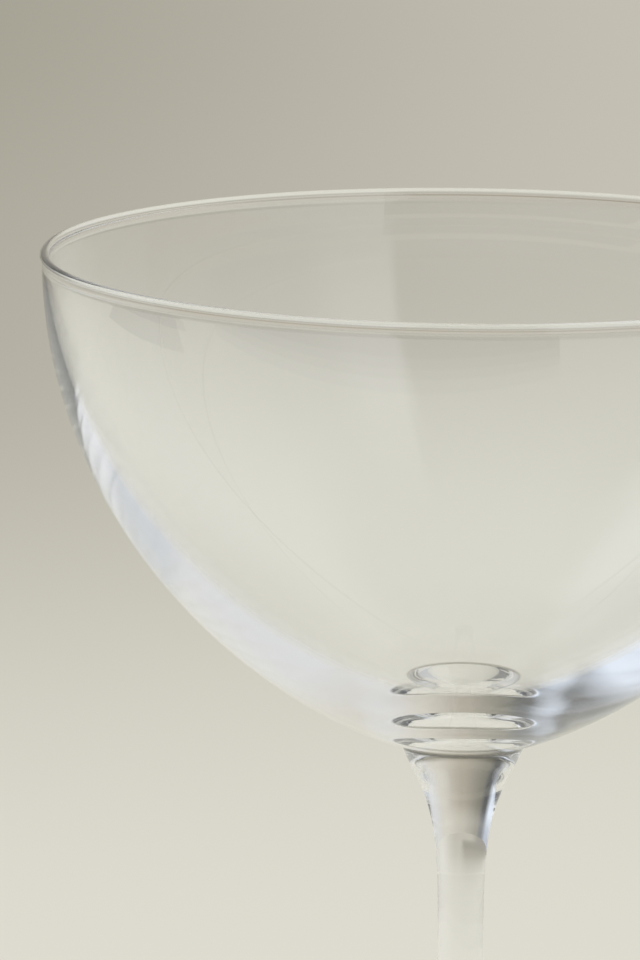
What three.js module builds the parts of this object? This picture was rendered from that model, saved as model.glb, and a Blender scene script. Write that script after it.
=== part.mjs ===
// Coupe glass: a wide, thick-based bowl on a slender drawn stem and a round foot.
// It is three pieces of clear glass, fused to each other at two flat joints.
// Millimetres, +Z up, with the origin at the middle of the foot's underside.
import * as THREE from "three";

// Driving dimensions of the bowl
const RIM_DIAMETER = 105; // over the round bead on the rim
const BEAD_DIAMETER = 1.1; // the bead's round section
const BEAD_PROUD = 0.25; // how far the bead stands out from the wall, outside
const BOWL_DEPTH = 60.4; // bead's centre down to the stem joint
const BASE_WALL = 5.1; // the wall low down, square to the outside, which it reaches by thickening
const WALL_SWELL = 1.45; // how late the wall thickens on its way down
const FLOOR_DIAMETER = 22; // the inside flattens out within this width
const FLOOR_FLATNESS = 5; // how flat it ends up there: 2 gives a round floor
const WALL_LEAN = 0.125; // how far the walls lean out: 0 gives a plain half ellipse
const ROUND_NOSE = 0.2; // keeps the curve round where it crosses the axis

// Driving dimensions of the stem
const STEM_LENGTH = 80; // bowl joint to foot joint
const STEM_DIAMETER = 5.6; // the even shank between the two flares
const BOWL_JOINT_DIAMETER = 14.9; // the disc where the stem is stuck to the bowl
const TOP_FLARE = 6.7; // depth below the bowl joint at which the flare is down to a third
const FOOT_JOINT_DIAMETER = 7;
const BOTTOM_FLARE = 9; // height above the foot joint at which its flare is down to a third
const FLARE_EASE = 1.4; // how gently a flare leaves its joint: 1 gives the sharpest corner

// Driving dimensions of the foot
const FOOT_DIAMETER = 74;
const FOOT_HEIGHT = 15; // table to the foot joint
const FOOT_EDGE = 1.8; // thickness of the foot's full-round edge
const REST_WIDTH = 5; // flat ring that the glass stands on, inside the round edge
const DIMPLE_DEPTH = 0.8; // hollow in the middle of the underside
const SPREAD = 27; // how far the foot runs on nearly level before it climbs
const SPREAD_RISE = 1.8; // its climb over that distance
const CLIMB = 9.5; // length of the upright part of its climb, below the joint

// Steps of the turned surfaces
const TURN_STEPS = 64;
const WALL_STEPS = 20;
const FLOOR_STEPS = 6;
const BEAD_STEPS = 10;
const STEM_STEPS = 24;
const FOOT_STEPS = 12;
const EDGE_STEPS = 6;
const DIMPLE_STEPS = 5;

// Heights of the two joints and of the rim above the table
const FOOT_JOINT_Z = FOOT_HEIGHT;
const BOWL_JOINT_Z = FOOT_JOINT_Z + STEM_LENGTH;
const RIM_Z = BOWL_JOINT_Z + BOWL_DEPTH;

// Small change of angle over which a curve's direction is taken
const DIRECTION_STEP = 1e-4;

const GLASS = { color: 0xe6e8e6, roughness: 0.03, metalness: 0, transparent: true, opacity: 0.35 };

// The outside's radius: half an ellipse whose sides lean outwards towards the rim.
// The angle runs from 0 at the rim to a quarter turn at the lowest point.
function outsideRadius(rimRadius, angle) {
  const cosine = Math.cos(angle);
  const lean = (cosine ** 2 + ROUND_NOSE ** 2) / (1 + ROUND_NOSE ** 2);
  return rimRadius * cosine * lean ** WALL_LEAN;
}

// The angle at which a radius that shrinks with the angle has come down to the wanted one.
function angleWhere(radiusAt, wanted) {
  let low = 0;
  let high = Math.PI / 2;
  for (let halving = 0; halving < 60; halving += 1) {
    const middle = (low + high) / 2;
    if (radiusAt(middle) > wanted) {
      low = middle;
    } else {
      high = middle;
    }
  }
  return low;
}

// Points of a wall from one angle to another, both included.
function wallPoints(pointAt, fromAngle, toAngle) {
  const points = [];
  for (let step = 0; step <= WALL_STEPS; step += 1) {
    points.push(pointAt(THREE.MathUtils.lerp(fromAngle, toAngle, step / WALL_STEPS)));
  }
  return points;
}

// The direction of a wall at an angle, heading down towards the axis.
function wallDirection(pointAt, angle) {
  const ahead = pointAt(angle + DIRECTION_STEP);
  return ahead.sub(pointAt(angle - DIRECTION_STEP)).normalize();
}

// Points of the inside's floor, from the foot of the wall in to the axis.
// It leaves the wall at the wall's own slope and ends level.
function floorPoints(edge, slope) {
  const drop = (slope * edge.x) / FLOOR_FLATNESS;
  const points = [];
  for (let step = 1; step <= FLOOR_STEPS; step += 1) {
    const share = 1 - step / FLOOR_STEPS;
    const height = edge.y - drop * (1 - share ** FLOOR_FLATNESS);
    points.push(new THREE.Vector2(edge.x * share, height));
  }
  return points;
}

// Points along an arc of a circle in the plane of the profile, its ends included.
function arc(centre, radius, fromAngle, toAngle, steps) {
  const points = [];
  for (let step = 0; step <= steps; step += 1) {
    const angle = THREE.MathUtils.lerp(fromAngle, toAngle, step / steps);
    points.push(new THREE.Vector2(
      centre.x + radius * Math.cos(angle),
      centre.y + radius * Math.sin(angle),
    ));
  }
  return points;
}

// Turns a profile, which starts and ends on the axis, into a named piece of glass.
function turnedPiece(name, profile) {
  const geometry = new THREE.LatheGeometry(profile, TURN_STEPS);
  geometry.rotateX(Math.PI / 2);
  const piece = new THREE.Mesh(geometry, new THREE.MeshStandardMaterial(GLASS));
  piece.name = name;
  return piece;
}

// The bowl: outer wall up from the joint, over the bead, and down the inside to the axis.
function makeBowl() {
  const beadRadius = BEAD_DIAMETER / 2;
  const beadCentre = new THREE.Vector2(RIM_DIAMETER / 2 - beadRadius, RIM_Z);
  const rimRadius = RIM_DIAMETER / 2 - BEAD_PROUD;
  const rimWall = BEAD_DIAMETER - BEAD_PROUD;
  const radiusAt = (angle) => outsideRadius(rimRadius, angle);
  const jointAngle = angleWhere(radiusAt, BOWL_JOINT_DIAMETER / 2);
  const depth = BOWL_DEPTH / Math.sin(jointAngle);

  const outside = (angle) => (
    new THREE.Vector2(radiusAt(angle), RIM_Z - depth * Math.sin(angle))
  );
  const inside = (angle) => {
    const along = wallDirection(outside, angle);
    const inwards = new THREE.Vector2(along.y, -along.x);
    const wall = THREE.MathUtils.lerp(rimWall, BASE_WALL, Math.sin(angle) ** WALL_SWELL);
    return outside(angle).addScaledVector(inwards, wall);
  };

  const wallOffset = rimRadius - beadCentre.x;
  const underBead = Math.sqrt(beadRadius ** 2 - wallOffset ** 2);
  const outerWall = wallPoints(outside, jointAngle, Math.asin(underBead / depth));
  const outerEnd = outerWall[outerWall.length - 1];
  const beadStart = Math.atan2(outerEnd.y - beadCentre.y, outerEnd.x - beadCentre.x);
  const bead = arc(beadCentre, beadRadius, beadStart, Math.PI, BEAD_STEPS);
  const floorAngle = angleWhere((angle) => inside(angle).x, FLOOR_DIAMETER / 2);
  const innerWall = wallPoints(inside, 0, floorAngle);
  const floorEdge = innerWall[innerWall.length - 1];
  const floorDirection = wallDirection(inside, floorAngle);
  return turnedPiece("bowl", [
    new THREE.Vector2(0, BOWL_JOINT_Z),
    ...outerWall,
    ...bead.slice(1, -1),
    ...innerWall,
    ...floorPoints(floorEdge, floorDirection.y / floorDirection.x),
  ]);
}

// The stem: an even shank that flares into the bowl joint above and the foot joint below.
function makeStem() {
  const shankRadius = STEM_DIAMETER / 2;
  const fade = (distance, flare) => Math.exp(-((distance / flare) ** FLARE_EASE));
  // Each flare still adds a trace at the far joint, so both are solved together.
  const topTrace = fade(STEM_LENGTH, TOP_FLARE);
  const bottomTrace = fade(STEM_LENGTH, BOTTOM_FLARE);
  const topGain = BOWL_JOINT_DIAMETER / 2 - shankRadius;
  const bottomGain = FOOT_JOINT_DIAMETER / 2 - shankRadius;
  const topFlare = (topGain - bottomGain * bottomTrace) / (1 - topTrace * bottomTrace);
  const bottomFlare = bottomGain - topFlare * topTrace;

  const profile = [new THREE.Vector2(0, FOOT_JOINT_Z)];
  for (let step = 0; step <= STEM_STEPS; step += 1) {
    // Steps crowd together towards the two flares.
    const height = (STEM_LENGTH / 2) * (1 - Math.cos((Math.PI * step) / STEM_STEPS));
    const fromTop = topFlare * fade(STEM_LENGTH - height, TOP_FLARE);
    const fromBottom = bottomFlare * fade(height, BOTTOM_FLARE);
    profile.push(new THREE.Vector2(shankRadius + fromTop + fromBottom, FOOT_JOINT_Z + height));
  }
  profile.push(new THREE.Vector2(0, BOWL_JOINT_Z));
  return turnedPiece("stem", profile);
}

// The foot: a dimpled underside, a flat resting ring, a round edge and a top that sweeps up.
function makeFoot() {
  const edgeRadius = FOOT_EDGE / 2;
  const edgeCentre = new THREE.Vector2(FOOT_DIAMETER / 2 - edgeRadius, edgeRadius);
  const dimpleRadius = edgeCentre.x - REST_WIDTH;
  const profile = [];
  for (let step = 0; step <= DIMPLE_STEPS; step += 1) {
    const share = step / DIMPLE_STEPS;
    profile.push(new THREE.Vector2(dimpleRadius * share, DIMPLE_DEPTH * (1 - share ** 2)));
  }
  profile.push(...arc(edgeCentre, edgeRadius, -Math.PI / 2, Math.PI / 2, EDGE_STEPS));
  const jointRadius = FOOT_JOINT_DIAMETER / 2;
  const sweep = new THREE.CubicBezierCurve(
    new THREE.Vector2(edgeCentre.x, FOOT_EDGE),
    new THREE.Vector2(edgeCentre.x - SPREAD, FOOT_EDGE + SPREAD_RISE),
    new THREE.Vector2(jointRadius, FOOT_JOINT_Z - CLIMB),
    new THREE.Vector2(jointRadius, FOOT_JOINT_Z),
  );
  profile.push(...sweep.getPoints(FOOT_STEPS).slice(1));
  profile.push(new THREE.Vector2(0, FOOT_JOINT_Z));
  return turnedPiece("foot", profile);
}

const glass = new THREE.Group();
glass.add(makeBowl(), makeStem(), makeFoot());

export default glass;
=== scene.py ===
"""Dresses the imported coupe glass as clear, fused glass on a pale table.

The bowl, the stem and the foot are turned about the upright axis from the same
sizes as the solids, finely enough for the glass to bend light smoothly.
"""
import logging
import math
from abc import ABC, abstractmethod
from dataclasses import dataclass
from enum import Enum
from typing import Callable, Optional, Sequence, Union

import bpy
from mathutils import Matrix, Vector


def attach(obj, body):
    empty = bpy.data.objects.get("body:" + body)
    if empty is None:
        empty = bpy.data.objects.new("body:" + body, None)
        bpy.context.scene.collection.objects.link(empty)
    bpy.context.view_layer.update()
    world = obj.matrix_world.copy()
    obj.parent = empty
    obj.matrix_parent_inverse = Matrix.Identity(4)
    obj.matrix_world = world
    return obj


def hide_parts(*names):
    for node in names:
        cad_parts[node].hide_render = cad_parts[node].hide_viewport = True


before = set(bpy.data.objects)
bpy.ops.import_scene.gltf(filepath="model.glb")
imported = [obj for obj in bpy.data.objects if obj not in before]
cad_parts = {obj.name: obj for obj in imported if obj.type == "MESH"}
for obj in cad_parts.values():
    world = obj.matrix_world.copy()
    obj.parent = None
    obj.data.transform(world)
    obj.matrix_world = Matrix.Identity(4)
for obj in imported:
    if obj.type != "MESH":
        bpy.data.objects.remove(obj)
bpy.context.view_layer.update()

LOG = logging.getLogger("coupe_glass")
MM = 0.001
BODY = "root"
FULL_TURN = 2 * math.pi
QUARTER_TURN = math.pi / 2

# The photograph's frame, in pixels
FRAME_WIDTH = 640
FRAME_HEIGHT = 960

# A level face has at least this upright normal, and faces touch within this many metres
LEVEL = 0.999
TOUCH = 1e-6

# Rounds of a search by halves
HALVINGS = 60

# A ray's count of bounces is past this from the first bounce on
BOUNCED = 0.5

# Sockets of a Mix node that mixes colours
MIX_SHARE, MIX_FIRST, MIX_SECOND, MIX_RESULT = 0, 6, 7, 2

# A profile's point is a radius and a height, in millimetres
Point = tuple[float, float]

# A place on the table is its distance to the right and to the back, in metres
Place = tuple[float, float]

# A span is where a smooth step starts and where it ends, in metres or as a ratio
Span = tuple[float, float]

# Linear red, green and blue
Colour = tuple[float, float, float]

# What an input takes: a value of its own, or the output of another node
Socket = bpy.types.NodeSocket
Value = Union[float, Socket]
Paint = Union[Colour, Socket]


class Node(Enum):
    """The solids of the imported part."""

    BOWL = "bowl"
    STEM = "stem"
    FOOT = "foot"


class Draw(Enum):
    """The way in which the glass was worked, which its fine cords follow."""

    BLOWN = (1.0, 1.0, 0.45)
    DRAWN = (1.0, 1.0, 0.08)
    SPUN = (0.6, 0.6, 1.0)


def srgb(red: int, green: int, blue: int) -> Colour:
    """Turns a colour as it is seen on a screen into linear light.

    Args:
        red: Red from 0 to 255.
        green: Green from 0 to 255.
        blue: Blue from 0 to 255.

    Returns:
        The linear red, green and blue.
    """
    def channel(level: int) -> float:
        """Returns one channel in linear light."""
        share = level / 255
        return share / 12.92 if share <= 0.04045 else ((share + 0.055) / 1.055) ** 2.4

    return channel(red), channel(green), channel(blue)


def blend(start: float, end: float, share: float) -> float:
    """Returns the value at a share of the way from start to end."""
    return start + (end - start) * share


def rounded(first: float, second: float, width: float) -> float:
    """Gives the larger of two radii, rounded off where they cross.

    Args:
        first: One radius.
        second: The other.
        width: Twice what the rounding adds at the crossing.

    Returns:
        The rounded radius.
    """
    return (first + second + math.hypot(first - second, width)) / 2


def arc(centre: Point, radius: float, start: float, end: float, steps: int) -> list[Point]:
    """Puts points on an arc of a circle in the plane of a profile.

    Args:
        centre: The circle's centre.
        radius: Its radius.
        start: First angle, in radians from the outward direction.
        end: Last angle.
        steps: Number of equal steps between them.

    Returns:
        The points, both ends included.
    """
    angles = [blend(start, end, step / steps) for step in range(steps + 1)]
    return [(centre[0] + radius * math.cos(a), centre[1] + radius * math.sin(a)) for a in angles]


class Wiring:
    """A node tree that is being wired."""

    def __init__(self, tree: bpy.types.NodeTree) -> None:
        """Keeps the tree to add nodes to."""
        self.tree = tree

    def add(self, kind: str, **settings: object) -> bpy.types.Node:
        """Adds a node.

        Args:
            kind: The node's type name.
            settings: Properties of the node, by name.

        Returns:
            The new node.
        """
        node = self.tree.nodes.new(kind)
        for name, value in settings.items():
            setattr(node, name, value)
        return node

    def link(self, source: Socket, target: Socket) -> None:
        """Joins an output to an input."""
        self.tree.links.new(source, target)

    def math(self, operation: str, first: Value, second: Optional[Value] = None) -> Socket:
        """Adds a Math node.

        Args:
            operation: Its operation.
            first: A number or an output.
            second: The second number or output, where the operation takes one.

        Returns:
            Its result.
        """
        node = self.add("ShaderNodeMath", operation=operation)
        for socket, value in zip(node.inputs, (first, second)):
            if isinstance(value, Socket):
                self.link(value, socket)
            elif value is not None:
                socket.default_value = value
        return node.outputs[0]

    def ease(self, value: Socket, start: float, end: float) -> Socket:
        """Adds a smooth step.

        Args:
            value: The value that runs through the step.
            start: Where the step starts, at 0.
            end: Where it ends, at 1.

        Returns:
            The smooth share from 0 to 1.
        """
        node = self.add("ShaderNodeMapRange", interpolation_type="SMOOTHSTEP")
        self.link(value, node.inputs["Value"])
        node.inputs["From Min"].default_value = start
        node.inputs["From Max"].default_value = end
        return node.outputs["Result"]

    def mix(self, share: Socket, first: Paint, second: Paint) -> Socket:
        """Adds a colour mix.

        Args:
            share: How much of the second colour shows.
            first: A colour or an output.
            second: A colour or an output.

        Returns:
            The mixed colour.
        """
        node = self.add("ShaderNodeMix", data_type="RGBA")
        self.link(share, node.inputs[MIX_SHARE])
        for index, value in ((MIX_FIRST, first), (MIX_SECOND, second)):
            socket = node.inputs[index]
            if isinstance(value, Socket):
                self.link(value, socket)
            else:
                socket.default_value = (*value, 1.0)
        return node.outputs[MIX_RESULT]


def new_material(name: str) -> tuple[bpy.types.Material, Wiring, bpy.types.Node]:
    """Makes a node material.

    Args:
        name: Its name.

    Returns:
        The material, its wiring and its Principled shader.
    """
    material = bpy.data.materials.new(name)
    material.use_nodes = True
    wiring = Wiring(material.node_tree)
    return material, wiring, material.node_tree.nodes["Principled BSDF"]


@dataclass(frozen=True)
class GlassSkin:
    """The skin of fire-polished glass: slow cords under the surface and a faint uneven polish.

    Lengths are in metres.
    """

    name: str = "glass_skin"
    cord_length: float = 0.019
    cord_detail: float = 1.5
    dull_length: float = 0.011
    dull_from: float = 0.52
    dull_to: float = 0.80

    def group(self) -> bpy.types.ShaderNodeTree:
        """Builds the node group, or finds it if it is there.

        Returns:
            A group with the cords' height and the share of dulled polish.
        """
        if self.name in bpy.data.node_groups:
            return bpy.data.node_groups[self.name]
        tree = bpy.data.node_groups.new(self.name, "ShaderNodeTree")
        tree.interface.new_socket("Stretch", in_out="INPUT", socket_type="NodeSocketVector")
        tree.interface.new_socket("Height", in_out="OUTPUT", socket_type="NodeSocketFloat")
        tree.interface.new_socket("Dull", in_out="OUTPUT", socket_type="NodeSocketFloat")
        wiring = Wiring(tree)
        given = wiring.add("NodeGroupInput")
        result = wiring.add("NodeGroupOutput")
        place = wiring.add("ShaderNodeTexCoord")
        stretched = wiring.add("ShaderNodeVectorMath", operation="MULTIPLY")
        wiring.link(place.outputs["Object"], stretched.inputs[0])
        wiring.link(given.outputs["Stretch"], stretched.inputs[1])
        cords = wiring.add("ShaderNodeTexNoise")
        cords.inputs["Scale"].default_value = 1 / self.cord_length
        cords.inputs["Detail"].default_value = self.cord_detail
        wiring.link(stretched.outputs[0], cords.inputs["Vector"])
        wiring.link(cords.outputs["Fac"], result.inputs["Height"])
        dull = wiring.add("ShaderNodeTexNoise")
        dull.inputs["Scale"].default_value = 1 / self.dull_length
        wiring.link(place.outputs["Object"], dull.inputs["Vector"])
        dulled = wiring.ease(dull.outputs["Fac"], self.dull_from, self.dull_to)
        wiring.link(dulled, result.inputs["Dull"])
        return tree


@dataclass(frozen=True)
class ClearGlass:
    """Clear, colourless, fire-polished glass, with painted shade as a fine dark band in the crease
    at the bowl's joint.

    Heights are in metres.
    """

    name: str
    draw: Draw
    index: float = 1.51
    tint: Colour = (0.995, 0.998, 0.997)
    dullest: float = 0.02
    cord_height: float = 4e-6
    # Painted shade: a dark colour for the crease where the bowl meets the stem, and the heights of
    # its thin band
    crease_shade_colour: Colour = (0.20, 0.19, 0.155)
    crease_shade_below: Span = (0.09445, 0.0948)
    crease_shade_above: Span = (0.0952, 0.09505)
    skin: GlassSkin = GlassSkin()

    def material(self) -> bpy.types.Material:
        """Builds the finish.

        Returns:
            The material.
        """
        material, wiring, shader = new_material(self.name)
        place = wiring.add("ShaderNodeTexCoord")
        parts = wiring.add("ShaderNodeSeparateXYZ")
        wiring.link(place.outputs["Object"], parts.inputs[0])
        # Painted shade: a thin band at the joint's crease is darkened in the glass's colour
        crease_shade_mask = wiring.math(
            "MULTIPLY", wiring.ease(parts.outputs["Z"], *self.crease_shade_below),
            wiring.ease(parts.outputs["Z"], *self.crease_shade_above))
        wiring.link(wiring.mix(crease_shade_mask, self.tint, self.crease_shade_colour), shader.inputs["Base Color"])
        shader.inputs["IOR"].default_value = self.index
        shader.inputs["Transmission Weight"].default_value = 1.0
        skin = wiring.add("ShaderNodeGroup", node_tree=self.skin.group())
        skin.inputs["Stretch"].default_value = self.draw.value
        roughness = wiring.math("MULTIPLY", skin.outputs["Dull"], self.dullest)
        wiring.link(roughness, shader.inputs["Roughness"])
        bump = wiring.add("ShaderNodeBump")
        bump.inputs["Strength"].default_value = 1.0
        bump.inputs["Distance"].default_value = self.cord_height
        wiring.link(skin.outputs["Height"], bump.inputs["Height"])
        wiring.link(bump.outputs["Normal"], shader.inputs["Normal"])
        return material


@dataclass(frozen=True)
class FusedJoint:
    """The face at which two pieces are fused, through which light passes unbent."""

    name: str = "fused_joint"

    def material(self) -> bpy.types.Material:
        """Builds the finish, or finds it if it is there.

        Returns:
            The material.
        """
        if self.name in bpy.data.materials:
            return bpy.data.materials[self.name]
        material, _, shader = new_material(self.name)
        shader.inputs["Alpha"].default_value = 0.0
        return material


@dataclass
class TurnedGlass(ABC):
    """A piece of glass that is turned about the upright axis from a profile.

    Sizes are in millimetres.
    """

    finish: ClearGlass
    turn_steps: int = 512

    @property
    @abstractmethod
    def node(self) -> Node:
        """The solid that this piece stands for."""

    @abstractmethod
    def profile(self) -> list[Point]:
        """Returns the profile, which starts and ends on the axis."""

    @abstractmethod
    def joints(self) -> Sequence[float]:
        """Returns the heights of the piece's fused faces, in millimetres."""

    def build(self) -> bpy.types.Object:
        """Models the piece, dresses it and ties it to the frame.

        Returns:
            The finished piece.
        """
        piece = self.turn()
        self.dress(piece)
        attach(piece, BODY)
        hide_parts(self.node.value)
        return piece

    def turn(self) -> bpy.types.Object:
        """Draws the profile as a chain of edges and spins it once round the axis.

        Returns:
            The closed piece, at the origin.
        """
        points = [Vector((radius, 0.0, height)) * MM for radius, height in self.profile()]
        bpy.ops.object.select_all(action="DESELECT")
        bpy.ops.mesh.primitive_circle_add(vertices=3, radius=MM)
        piece = bpy.context.object
        piece.name = piece.data.name = f"glass_{self.node.value}"
        bpy.ops.object.mode_set(mode="EDIT")
        bpy.ops.mesh.select_all(action="SELECT")
        bpy.ops.mesh.merge(type="CENTER")
        bpy.ops.transform.translate(value=points[0])
        for before, after in zip(points, points[1:]):
            bpy.ops.mesh.extrude_vertices_move(TRANSFORM_OT_translate={"value": after - before})
        bpy.ops.mesh.select_all(action="SELECT")
        bpy.ops.mesh.spin(steps=self.turn_steps, angle=FULL_TURN, center=(0, 0, 0), axis=(0, 0, 1))
        bpy.ops.mesh.select_all(action="SELECT")
        bpy.ops.mesh.remove_doubles(threshold=TOUCH)
        bpy.ops.mesh.normals_make_consistent(inside=False)
        bpy.ops.object.mode_set(mode="OBJECT")
        return piece

    def dress(self, piece: bpy.types.Object) -> None:
        """Puts the finish on the piece, and the joint's on its fused faces.

        Args:
            piece: The turned piece.
        """
        piece.data.materials.append(self.finish.material())
        piece.data.materials.append(FusedJoint().material())
        heights = [height * MM for height in self.joints()]
        for face in piece.data.polygons:
            level = abs(face.normal.z) > LEVEL
            fused = level and any(abs(face.center.z - height) < TOUCH for height in heights)
            face.material_index = int(fused)
            face.use_smooth = not fused


@dataclass
class Foot(TurnedGlass):
    """The round foot, with a dimpled underside and a top that sweeps up into the stem."""

    diameter: float = 74.0
    height: float = 15.0
    joint_diameter: float = 7.0
    edge: float = 1.8
    rest_width: float = 5.0
    dimple_depth: float = 0.8
    spread: float = 27.0
    spread_rise: float = 1.8
    climb: float = 9.5
    dimple_steps: int = 16
    edge_steps: int = 16
    sweep_steps: int = 60

    @property
    def node(self) -> Node:
        """The solid that this piece stands for."""
        return Node.FOOT

    def joints(self) -> Sequence[float]:
        """Returns the height of the stem's joint."""
        return (self.height,)

    def sweep(self, share: float) -> Point:
        """Gives a point of the top's curve.

        Args:
            share: How far along it is, from the edge at 0 to the joint at 1.

        Returns:
            The point.
        """
        outer = self.diameter / 2 - self.edge / 2
        inner = self.joint_diameter / 2
        corners = (
            (outer, self.edge),
            (outer - self.spread, self.edge + self.spread_rise),
            (inner, self.height - self.climb),
            (inner, self.height),
        )
        rest = 1 - share
        weights = (rest ** 3, 3 * rest ** 2 * share, 3 * rest * share ** 2, share ** 3)
        return (
            sum(weight * corner[0] for weight, corner in zip(weights, corners)),
            sum(weight * corner[1] for weight, corner in zip(weights, corners)),
        )

    def profile(self) -> list[Point]:
        """Works out the foot's profile: dimple, resting ring, round edge, sweep and joint.

        Returns:
            The profile.
        """
        half_edge = self.edge / 2
        centre = (self.diameter / 2 - half_edge, half_edge)
        dimple_radius = centre[0] - self.rest_width
        shares = [step / self.dimple_steps for step in range(self.dimple_steps + 1)]
        dimple = [(dimple_radius * share, self.dimple_depth * (1 - share ** 2)) for share in shares]
        edge = arc(centre, half_edge, -QUARTER_TURN, QUARTER_TURN, self.edge_steps)
        sweep = [self.sweep(step / self.sweep_steps) for step in range(1, self.sweep_steps + 1)]
        return [*dimple, *edge, *sweep, (0.0, self.height)]


@dataclass
class Stem(TurnedGlass):
    """The drawn stem: an even shank that flares into the joints above and below."""

    bottom: float = 15.0
    length: float = 80.0
    diameter: float = 5.6
    bowl_joint_diameter: float = 14.9
    top_flare: float = 6.7
    foot_joint_diameter: float = 7.0
    bottom_flare: float = 9.0
    flare_ease: float = 1.4
    fillet: float = 0.34
    joint_slope: float = 0.4
    steps: int = 150

    @property
    def node(self) -> Node:
        """The solid that this piece stands for."""
        return Node.STEM

    def joints(self) -> Sequence[float]:
        """Returns the heights of the foot's and the bowl's joint."""
        return self.bottom, self.bottom + self.length

    def fade(self, distance: float, flare: float) -> float:
        """Returns the share of a flare that is left at a distance from its joint."""
        return math.exp(-((distance / flare) ** self.flare_ease))

    def profile(self) -> list[Point]:
        """Works out the stem's profile, with both flares solved for the joints' diameters.

        Returns:
            The profile, from the foot's joint up to the bowl's.
        """
        shank = self.diameter / 2
        top_trace = self.fade(self.length, self.top_flare)
        bottom_trace = self.fade(self.length, self.bottom_flare)
        top_gain = self.bowl_joint_diameter / 2 - shank
        bottom_gain = self.foot_joint_diameter / 2 - shank
        top = (top_gain - bottom_gain * bottom_trace) / (1 - top_trace * bottom_trace)
        bottom = bottom_gain - top * top_trace
        points: list[Point] = [(0.0, self.bottom)]
        for step in range(self.steps + 1):
            height = self.length / 2 * (1 - math.cos(math.pi * step / self.steps))
            radius = shank + top * self.fade(self.length - height, self.top_flare)
            radius += bottom * self.fade(height, self.bottom_flare)
            bowl_radius = self.bowl_joint_diameter / 2 - (self.length - height) / self.joint_slope
            points.append((rounded(radius, bowl_radius, self.fillet), self.bottom + height))
        return [*points, (0.0, self.bottom + self.length)]


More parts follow.
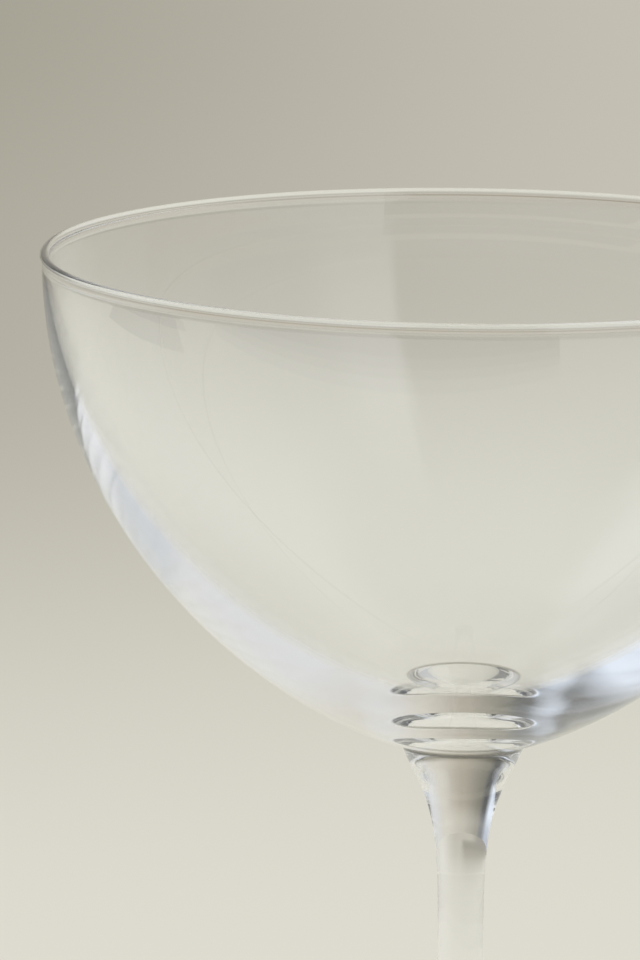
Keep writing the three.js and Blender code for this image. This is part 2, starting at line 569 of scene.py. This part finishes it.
@dataclass
class Bowl(TurnedGlass):
    """The blown bowl: a wall that thickens downwards, a round bead and a flattened floor."""

    joint_height: float = 95.0
    rim_diameter: float = 105.0
    bead_diameter: float = 1.1
    bead_proud: float = 0.25
    depth: float = 60.4
    base_wall: float = 5.1
    wall_swell: float = 1.45
    floor_diameter: float = 22.0
    floor_flatness: float = 5.0
    wall_lean: float = 0.125
    round_nose: float = 0.2
    joint_diameter: float = 14.9
    fillet: float = 0.34
    fillet_reach: float = 0.05
    fillet_steps: int = 12
    wall_steps: int = 76
    inner_steps: int = 66
    bead_steps: int = 20
    floor_steps: int = 16
    direction_step: float = 1e-4

    @property
    def node(self) -> Node:
        """The solid that this piece stands for."""
        return Node.BOWL

    def joints(self) -> Sequence[float]:
        """Returns the height of the stem's joint."""
        return (self.joint_height,)

    @property
    def rim_height(self) -> float:
        """The height of the bead's centre."""
        return self.joint_height + self.depth

    @property
    def rim_radius(self) -> float:
        """The outside's radius at the rim, without the bead."""
        return self.rim_diameter / 2 - self.bead_proud

    def outside_radius(self, angle: float) -> float:
        """Gives the outside's radius: half an ellipse whose sides lean out towards the rim.

        Args:
            angle: From 0 at the rim to a quarter turn at the lowest point.

        Returns:
            The radius.
        """
        cosine = math.cos(angle)
        lean = (cosine ** 2 + self.round_nose ** 2) / (1 + self.round_nose ** 2)
        return self.rim_radius * cosine * lean ** self.wall_lean

    @staticmethod
    def angle_where(radius_at: Callable[[float], float], wanted: float) -> float:
        """Finds the angle at which a radius that shrinks with it has come down to a wanted one.

        Args:
            radius_at: The radius at an angle.
            wanted: The radius to find.

        Returns:
            The angle.
        """
        low, high = 0.0, QUARTER_TURN
        for _ in range(HALVINGS):
            middle = (low + high) / 2
            if radius_at(middle) > wanted:
                low = middle
            else:
                high = middle
        return low

    @property
    def joint_angle(self) -> float:
        """The angle at which the outside meets the stem."""
        return self.angle_where(self.outside_radius, self.joint_diameter / 2)

    @property
    def joint_slope(self) -> float:
        """The outside's slope where it meets the stem."""
        run, rise = self.direction(self.outside, self.joint_angle)
        return rise / run

    @property
    def full_depth(self) -> float:
        """The depth that the outside would have if it ran on to the axis."""
        return self.depth / math.sin(self.joint_angle)

    def filleted(self, point: Point) -> Point:
        """Returns a point of the outside, rounded off into the stem."""
        return rounded(self.joint_diameter / 2, point[0], self.fillet), point[1]

    def outside(self, angle: float) -> Point:
        """Returns the outside's point at an angle."""
        return self.outside_radius(angle), self.rim_height - self.full_depth * math.sin(angle)

    def direction(self, point_at: Callable[[float], Point], angle: float) -> Point:
        """Gives a wall's direction, heading down towards the axis.

        Args:
            point_at: The wall's point at an angle.
            angle: Where the direction is taken.

        Returns:
            A radius and a height, together of length 1.
        """
        behind, ahead = point_at(angle - self.direction_step), point_at(angle + self.direction_step)
        run, rise = ahead[0] - behind[0], ahead[1] - behind[1]
        length = math.hypot(run, rise)
        return run / length, rise / length

    def inside(self, angle: float) -> Point:
        """Gives the inside's point across the wall from the outside's.

        Args:
            angle: The outside's angle.

        Returns:
            The inside's point.
        """
        radius, height = self.outside(angle)
        run, rise = self.direction(self.outside, angle)
        rim_wall = self.bead_diameter - self.bead_proud
        wall = blend(rim_wall, self.base_wall, max(math.sin(angle), 0.0) ** self.wall_swell)
        return radius + rise * wall, height - run * wall

    def floor(self, edge: Point, slope: float) -> list[Point]:
        """Puts points on the inside's floor, which leaves the wall at its slope and ends level.

        Args:
            edge: The foot of the inside's wall.
            slope: The wall's slope there.

        Returns:
            The points, from beside the wall in to the axis.
        """
        drop = slope * edge[0] / self.floor_flatness
        shares = [1 - step / self.floor_steps for step in range(1, self.floor_steps + 1)]
        return [(edge[0] * s, edge[1] - drop * (1 - s ** self.floor_flatness)) for s in shares]

    def profile(self) -> list[Point]:
        """Works out the bowl's profile: joint, outside, bead, inside and floor.

        Returns:
            The profile.
        """
        bead_radius = self.bead_diameter / 2
        centre = (self.rim_diameter / 2 - bead_radius, self.rim_height)
        joint_angle = self.joint_angle
        under_bead = math.sqrt(bead_radius ** 2 - (self.rim_radius - centre[0]) ** 2)
        bead_angle = math.asin(under_bead / self.full_depth)
        floor_angle = self.angle_where(lambda angle: self.inside(angle)[0], self.floor_diameter / 2)
        fillet_shares = [step / self.fillet_steps for step in range(self.fillet_steps)]
        wall_shares = [step / self.wall_steps for step in range(self.wall_steps + 1)]
        outer_shares = [self.fillet_reach * share ** 2 for share in fillet_shares]
        outer_shares += [blend(self.fillet_reach, 1.0, share) for share in wall_shares]
        angles = [blend(joint_angle, bead_angle, share) for share in outer_shares]
        outer = [self.filleted(self.outside(angle)) for angle in angles]
        inner_shares = [step / self.inner_steps for step in range(self.inner_steps + 1)]
        inner = [self.inside(blend(0.0, floor_angle, share)) for share in inner_shares]
        bead_start = math.atan2(outer[-1][1] - centre[1], outer[-1][0] - centre[0])
        bead = arc(centre, bead_radius, bead_start, math.pi, self.bead_steps)
        run, rise = self.direction(self.inside, floor_angle)
        floor = self.floor(inner[-1], rise / run)
        return [(0.0, self.joint_height), *outer, *bead[1:-1], *inner, *floor]


@dataclass(frozen=True)
class RoomZone:
    """A part of the room round the table, as the glass sees it, between two azimuths in degrees."""

    start: float
    end: float
    low: Colour
    high: Colour


@dataclass(frozen=True)
class Room:
    """The room round the table: pale walls, dark corners, and windows on the left and behind.

    Angles are in degrees. Azimuth 0 is straight behind the glass, and 90 is on its right.
    """

    zones: tuple[RoomZone, ...] = (
        RoomZone(-180, -168, (0.20, 0.215, 0.24), (0.06, 0.065, 0.08)),
        RoomZone(-145, -95, (0.05, 0.065, 0.095), (0.05, 0.055, 0.07)),
        RoomZone(-80, -44, (0.52, 0.57, 0.66), (0.82, 0.90, 1.02)),
        RoomZone(-33, -28, (0.24, 0.245, 0.25), (0.08, 0.085, 0.085)),
        RoomZone(-21, -19, (0.36, 0.345, 0.295), (0.22, 0.21, 0.17)),
        RoomZone(-1, 1, (0.55, 0.52, 0.44), (0.42, 0.385, 0.31)),
        RoomZone(20, 22, (0.68, 0.65, 0.565), (0.64, 0.61, 0.53)),
        RoomZone(45, 95, (0.72, 0.72, 0.70), (0.75, 0.76, 0.77)),
        RoomZone(108, 132, (0.55, 0.58, 0.63), (0.62, 0.65, 0.69)),
        RoomZone(143, 158, (0.62, 0.65, 0.70), (0.94, 0.96, 1.00)),
        RoomZone(160, 180, (0.20, 0.215, 0.24), (0.06, 0.065, 0.08)),
    )
    high_from: float = 3.0
    high_to: float = 13.0
    ceiling: Colour = (0.34, 0.34, 0.33)
    window_top: float = 48.0
    ceiling_from: float = 68.0
    fill: float = 0.6
    passed: float = 1.0
    haze: Colour = srgb(196, 192, 180)

    def hang(self, scene: bpy.types.Scene) -> None:
        """Makes the world: white fill for the table, pale haze for the camera, the room for glass.

        The table under the glass gets plain light through it.

        Args:
            scene: The scene to hang it in.
        """
        world = bpy.data.worlds.new("room")
        scene.world = world
        world.use_nodes = True
        wiring = Wiring(world.node_tree)
        world.node_tree.nodes.clear()
        rays = wiring.add("ShaderNodeLightPath")
        from_table = wiring.math("GREATER_THAN", rays.outputs["Diffuse Depth"], BOUNCED)
        by_glass = wiring.math(
            "MAXIMUM", rays.outputs["Is Glossy Ray"], rays.outputs["Is Transmission Ray"])
        fill = self.background(wiring, (self.fill,) * 3)
        haze = self.background(wiring, self.haze)
        room = self.background(wiring, self.surroundings(wiring))
        passed = self.background(wiring, (self.passed,) * 3)
        plain = self.choose(wiring, rays.outputs["Is Camera Ray"], fill, haze)
        bent = self.choose(wiring, from_table, room, passed)
        output = wiring.add("ShaderNodeOutputWorld")
        wiring.link(self.choose(wiring, by_glass, plain, bent), output.inputs["Surface"])

    @staticmethod
    def choose(wiring: Wiring, share: Socket, first: Socket, second: Socket) -> Socket:
        """Adds a choice between two backgrounds.

        Args:
            wiring: The world's wiring.
            share: Which one shows, 0 for the first and 1 for the second.
            first: The first background.
            second: The second background.

        Returns:
            The chosen shader.
        """
        node = wiring.add("ShaderNodeMixShader")
        for socket, source in zip(node.inputs, (share, first, second)):
            wiring.link(source, socket)
        return node.outputs[0]

    @staticmethod
    def background(wiring: Wiring, colour: Paint) -> Socket:
        """Adds a background of one colour.

        Args:
            wiring: The world's wiring.
            colour: A colour or an output.

        Returns:
            Its shader.
        """
        node = wiring.add("ShaderNodeBackground")
        if isinstance(colour, Socket):
            wiring.link(colour, node.inputs["Color"])
        else:
            node.inputs["Color"].default_value = (*colour, 1.0)
        return node.outputs[0]

    def surroundings(self, wiring: Wiring) -> Socket:
        """Adds the ring of zones under its ceiling.

        Args:
            wiring: The world's wiring.

        Returns:
            The colour in each direction.
        """
        way = wiring.add("ShaderNodeTexCoord")
        parts = wiring.add("ShaderNodeSeparateXYZ")
        wiring.link(way.outputs["Generated"], parts.inputs[0])
        azimuth = wiring.math("ARCTAN2", parts.outputs["X"], parts.outputs["Y"])
        turn = wiring.math("ADD", wiring.math("DIVIDE", azimuth, FULL_TURN), 0.5)
        low = self.ring(wiring, turn, [zone.low for zone in self.zones])
        high = self.ring(wiring, turn, [zone.high for zone in self.zones])
        walls = wiring.mix(self.rise(wiring, parts, self.high_from, self.high_to), low, high)
        overhead = self.rise(wiring, parts, self.window_top, self.ceiling_from)
        return wiring.mix(overhead, walls, self.ceiling)

    def ring(self, wiring: Wiring, turn: Socket, colours: Sequence[Colour]) -> Socket:
        """Adds the zones' colours along one ring.

        Args:
            wiring: The world's wiring.
            turn: The azimuth as a share of a turn.
            colours: A colour for each zone.

        Returns:
            The ring's colour.
        """
        node = wiring.add("ShaderNodeValToRGB")
        wiring.link(turn, node.inputs[0])
        marks = node.color_ramp.elements
        stops = [
            (angle / 360 + 0.5, colour)
            for zone, colour in zip(self.zones, colours) for angle in (zone.start, zone.end)]
        while len(marks) < len(stops):
            marks.new(1.0)
        for mark, (position, colour) in zip(marks, stops):
            mark.position = position
            mark.color = (*colour, 1.0)
        return node.outputs["Color"]

    @staticmethod
    def rise(wiring: Wiring, way: bpy.types.Node, start: float, end: float) -> Socket:
        """Adds a smooth step between two elevations.

        Args:
            wiring: The world's wiring.
            way: The direction's three parts.
            start: The elevation at which the step starts, in degrees.
            end: The elevation at which it ends.

        Returns:
            The share from 0 to 1.
        """
        return wiring.ease(
            way.outputs["Z"], math.sin(math.radians(start)), math.sin(math.radians(end)))


@dataclass(frozen=True)
class TableTop:
    """The pale table top, whose colour holds painted light falloff: lighter in front, darker
    towards the back and the far left.

    Sizes are in metres. A bearing is the sine of an azimuth.
    """

    size: float = 24.0
    hair: float = 0.0002
    # Painted light falloff: the table's colour is lighter in front and darker towards the back and
    # the far left, blending into the horizon's tone far off
    near: Colour = srgb(221, 219, 207)
    middle: Colour = srgb(200, 196, 184)
    middle_left_painted_shade: Colour = srgb(175, 171, 158)
    far: Colour = srgb(197, 193, 181)
    far_left_painted_shade: Colour = srgb(162, 159, 145)
    horizon: Colour = srgb(195, 191, 178)
    # Painted light: the table's colour is lighter on the right side
    painted_light_side: Colour = srgb(226, 224, 214)
    # Painted shade: a darker patch on the table towards the back left
    painted_shade: Colour = srgb(160, 157, 148)
    middle_y: Span = (0.33, 0.90)
    far_y: Span = (0.85, 1.25)
    horizon_y: Span = (1.35, 2.6)
    left_x: Span = (0.07, -0.12)
    painted_light_bearing: Span = (0.12, 0.60)
    painted_shade_bearing: Span = (-0.20, -0.48)
    painted_shade_y: Span = (0.55, 1.9)
    nearest: float = 0.05

    def lay(self) -> bpy.types.Object:
        """Lays the table top.

        Returns:
            The table top.
        """
        bpy.ops.object.select_all(action="DESELECT")
        bpy.ops.mesh.primitive_plane_add(size=self.size, location=(0.0, 0.0, -self.hair))
        top = bpy.context.object
        top.name = top.data.name = "table_top"
        top.data.materials.append(self.material())
        return top

    def material(self) -> bpy.types.Material:
        """Builds the table top's matt finish, whose colour carries painted light and painted shade.

        Returns:
            The material.
        """
        material, wiring, shader = new_material("matt_table")
        place = wiring.add("ShaderNodeTexCoord")
        parts = wiring.add("ShaderNodeSeparateXYZ")
        wiring.link(place.outputs["Object"], parts.inputs[0])
        across, along = parts.outputs["X"], parts.outputs["Y"]
        distance = wiring.add("ShaderNodeVectorMath", operation="LENGTH")
        wiring.link(place.outputs["Object"], distance.inputs[0])
        reach = wiring.math("MAXIMUM", distance.outputs["Value"], self.nearest)
        bearing = wiring.math("DIVIDE", across, reach)
        # Painted light falloff: darker towards the back and to the left, then the far tone at the
        # horizon
        left = wiring.ease(across, *self.left_x)
        middle = wiring.mix(left, self.middle, self.middle_left_painted_shade)
        far = wiring.mix(left, self.far, self.far_left_painted_shade)
        plain = wiring.mix(wiring.ease(along, *self.middle_y), self.near, middle)
        back = wiring.mix(wiring.ease(along, *self.far_y), plain, far)
        distant = wiring.mix(wiring.ease(along, *self.horizon_y), back, self.horizon)
        # Painted light: lighter towards the right
        lit = wiring.mix(wiring.ease(bearing, *self.painted_light_bearing), distant, self.painted_light_side)
        # Painted shade: a darker patch towards the back left
        aside = wiring.ease(bearing, *self.painted_shade_bearing)
        shade = wiring.math("MULTIPLY", aside, wiring.ease(along, *self.painted_shade_y))
        wiring.link(wiring.mix(shade, lit, self.painted_shade), shader.inputs["Base Color"])
        shader.inputs["Roughness"].default_value = 1.0
        shader.inputs["Specular IOR Level"].default_value = 0.0
        return material


@dataclass(frozen=True)
class FeltCard:
    """A felt card laid flat on the table, away from the glass, which only reflections show.

    Sizes are in metres.
    """

    name: str
    corners: tuple[Place, Place, Place, Place]
    height: float = 0.002
    colour: Colour = (0.018, 0.022, 0.034)
    nap_length: float = 1 / 3
    nap_lift: float = 1.4

    def lay(self) -> bpy.types.Object:
        """Lays the card.

        Returns:
            The card.
        """
        bpy.ops.object.select_all(action="DESELECT")
        bpy.ops.mesh.primitive_plane_add(size=1.0)
        card = bpy.context.object
        card.name = card.data.name = self.name
        rim = card.data.polygons[0].vertices
        for index, (across, back) in zip(rim, self.corners):
            card.data.vertices[index].co = (across, back, self.height)
        card.data.materials.append(self.felt())
        card.visible_camera = card.visible_diffuse = card.visible_shadow = False
        return card

    def felt(self) -> bpy.types.Material:
        """Builds the card's felt, whose nap catches the light unevenly.

        Returns:
            The material.
        """
        material, wiring, shader = new_material(f"{self.name}_felt")
        place = wiring.add("ShaderNodeTexCoord")
        nap = wiring.add("ShaderNodeTexNoise")
        nap.inputs["Scale"].default_value = 1 / self.nap_length
        wiring.link(place.outputs["Object"], nap.inputs["Vector"])
        lit = tuple(self.nap_lift * part for part in self.colour)
        wiring.link(wiring.mix(nap.outputs["Fac"], self.colour, lit), shader.inputs["Base Color"])
        path = wiring.add("ShaderNodeLightPath")
        mirrored = wiring.math("GREATER_THAN", path.outputs["Glossy Depth"], BOUNCED)
        wiring.link(mirrored, shader.inputs["Alpha"])
        shader.inputs["Roughness"].default_value = 1.0
        shader.inputs["Specular IOR Level"].default_value = 0.0
        return material


@dataclass(frozen=True)
class SoftLamp:
    """One broad, soft lamp above the table on the right, which gives the glass its shadow.

    Angles are in degrees.
    """

    azimuth: float = 120.0
    elevation: float = 52.0
    spread: float = 38.0
    strength: float = 1.6

    def hang(self, scene: bpy.types.Scene) -> bpy.types.Object:
        """Hangs the lamp.

        Args:
            scene: The scene to hang it in.

        Returns:
            The lamp.
        """
        data = bpy.data.lights.new("soft_lamp", "SUN")
        data.energy = self.strength
        data.angle = math.radians(self.spread)
        lamp = bpy.data.objects.new("soft_lamp", data)
        across, up = math.radians(self.azimuth), math.radians(self.elevation)
        towards = Vector((
            math.sin(across) * math.cos(up), math.cos(across) * math.cos(up), math.sin(up)))
        lamp.rotation_mode = "QUATERNION"
        lamp.rotation_quaternion = towards.to_track_quat("Z", "Y")
        lamp.visible_glossy = lamp.visible_transmission = False
        scene.collection.objects.link(lamp)
        return lamp


@dataclass(frozen=True)
class PhotoCamera:
    """The camera, at the photograph's viewing angle.

    Distance and reach are in metres, the aim and the sensor in millimetres, angles in degrees.
    """

    distance: float = 2.5
    pitch: float = 9.82
    roll: float = 0.66
    aim_height: float = 125.0
    aim_right: float = -17.9
    aim_up: float = 2.7
    pixels_per_mm: float = 8.16
    sensor: float = 36.0
    reach: float = 50.0

    def place(self, scene: bpy.types.Scene) -> bpy.types.Object:
        """Places the camera and makes it the scene's.

        Args:
            scene: The scene.

        Returns:
            The camera.
        """
        data = bpy.data.cameras.new("photo_camera")
        data.sensor_width = self.sensor
        long_side = max(FRAME_WIDTH, FRAME_HEIGHT)
        data.lens = self.sensor / long_side * self.pixels_per_mm * self.distance / MM
        data.clip_end = self.reach
        pitch, roll = math.radians(self.pitch), math.radians(self.roll)
        right = Vector((1.0, 0.0, 0.0))
        ahead = Vector((0.0, math.cos(pitch), -math.sin(pitch)))
        up = right.cross(ahead)
        aim = Vector((0.0, 0.0, self.aim_height)) + right * self.aim_right + up * self.aim_up
        place = aim * MM - ahead * self.distance
        turned_right = right * math.cos(roll) + up * math.sin(roll)
        turned_up = up * math.cos(roll) - right * math.sin(roll)
        axes = Matrix((turned_right, turned_up, -ahead)).transposed()
        camera = bpy.data.objects.new("photo_camera", data)
        camera.matrix_world = Matrix.Translation(place) @ axes.to_4x4()
        scene.collection.objects.link(camera)
        scene.camera = camera
        return camera


@dataclass(frozen=True)
class LightPaths:
    """How far light is followed: it turns many times inside thick glass."""

    reflections: int = 64
    refractions: int = 64
    total: int = 96
    open_faces: int = 48

    def follow(self, scene: bpy.types.Scene) -> None:
        """Sets the scene's limits and its view.

        Args:
            scene: The scene.
        """
        scene.cycles.glossy_bounces = self.reflections
        scene.cycles.transmission_bounces = self.refractions
        scene.cycles.max_bounces = self.total
        scene.cycles.transparent_max_bounces = self.open_faces
        scene.cycles.blur_glossy = 0.0
        scene.view_settings.view_transform = "Standard"


def felt_cards() -> Sequence[FeltCard]:
    """Lists the cards: two dark ones, in front and on the left, a grey fringe and a pale one.

    Returns:
        The cards, in the order in which they are laid.
    """
    front = FeltCard("front_card", ((-0.72, -0.26), (-4.0, -4.0), (1.74, -4.0), (0.206, -0.473)))
    left = FeltCard("left_card", ((-0.50, -0.08), (-0.66, 0.26), (-4.0, 0.60), (-4.0, -0.10)))
    right = FeltCard(
        "right_card", ((0.348, -0.80), (1.74, -4.0), (4.0, -4.0), (1.3, -0.5)),
        colour=(0.54, 0.57, 0.62))
    fringe = FeltCard(
        "fringe_card", ((-0.62, -0.224), (-0.72, -0.26), (0.206, -0.473), (0.177, -0.407)),
        colour=(0.33, 0.335, 0.34))
    return front, fringe, left, right


def main() -> None:
    """Sets the stage, then builds the glass piece by piece."""
    logging.basicConfig(level=logging.INFO, format="%(name)s: %(message)s")
    scene = bpy.context.scene
    LightPaths().follow(scene)
    camera = PhotoCamera().place(scene)
    LOG.info("%s with a lens of %.0f mm", camera.name, camera.data.lens)
    Room().hang(scene)
    lamp = SoftLamp().hang(scene)
    LOG.info("%s of %.1f W/m2", lamp.name, lamp.data.energy)
    for stage in (TableTop(), *felt_cards()):
        LOG.info("%s laid", stage.lay().name)
    bowl = Bowl(ClearGlass("blown_glass", Draw.BLOWN))
    stem = Stem(ClearGlass("drawn_glass", Draw.DRAWN), joint_slope=bowl.joint_slope)
    for maker in (Foot(ClearGlass("spun_glass", Draw.SPUN)), stem, bowl):
        piece = maker.build()
        LOG.info("%s: %d faces", piece.name, len(piece.data.polygons))


if __name__ == "__main__":
    main()
